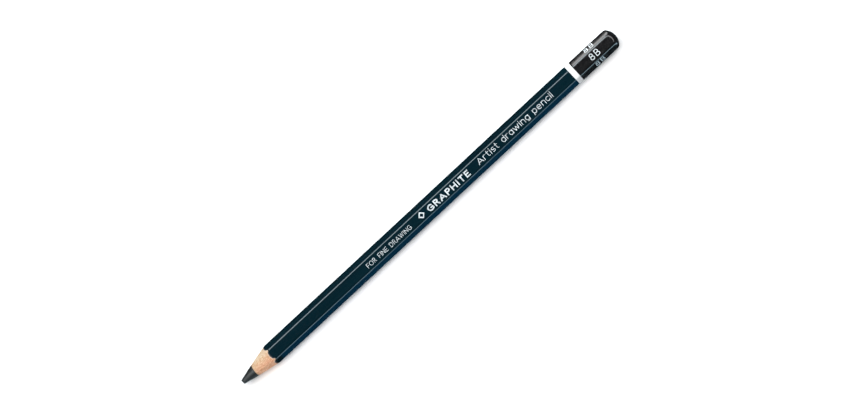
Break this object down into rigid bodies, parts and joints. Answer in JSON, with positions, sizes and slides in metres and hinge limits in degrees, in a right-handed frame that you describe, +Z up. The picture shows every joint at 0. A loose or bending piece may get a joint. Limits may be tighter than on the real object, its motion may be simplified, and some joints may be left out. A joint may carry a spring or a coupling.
{
  "type": "graphite pencil",
  "caption": "Wood-cased graphite drawing pencil with a hexagonal dark blue barrel, a white ring, a rounded black dipped end and a sanded point with a thick soft core.",
  "frame": {"origin": "under the middle of the pencil's length, on the surface it lies on", "axes": "X along the pencil with the point towards -X and the dipped end towards +X, Y across it, Z up; the printed flat faces up, and its letters read from the point with their tops towards +Y"},
  "size_m": [0.175, 0.008, 0.0071],
  "materials": {
    "graphite": "fired clay and graphite, dark grey with a soft metallic sheen",
    "casing_wood": "bare sanded wood, fine straight grain",
    "wood_glue": "thin dried film",
    "primer": "matt pale ground coat",
    "blue_lacquer": "high gloss dark teal blue lacquer",
    "white_lacquer": "gloss white lacquer",
    "black_lacquer": "satin black lacquer",
    "silver_foil": "hot-stamped silver foil, slightly worn"
  },
  "bodies": {
    "root": {"graphite_core": "graphite", "upper_slat": "casing_wood", "lower_slat": "casing_wood", "glue_film": "wood_glue", "primer_coat": "primer", "blue_lacquer": "blue_lacquer", "white_dip": "white_lacquer", "black_dip": "black_lacquer", "foil_small_line": "silver_foil", "foil_diamond": "silver_foil", "foil_bold_line": "silver_foil", "foil_light_line": "silver_foil", "foil_grade_1": "silver_foil", "foil_grade_2": "silver_foil", "foil_grade_3": "silver_foil", "foil_grade_4": "silver_foil", "foil_grade_5": "silver_foil", "foil_grade_6": "silver_foil"}
  },
  "joints": []
}
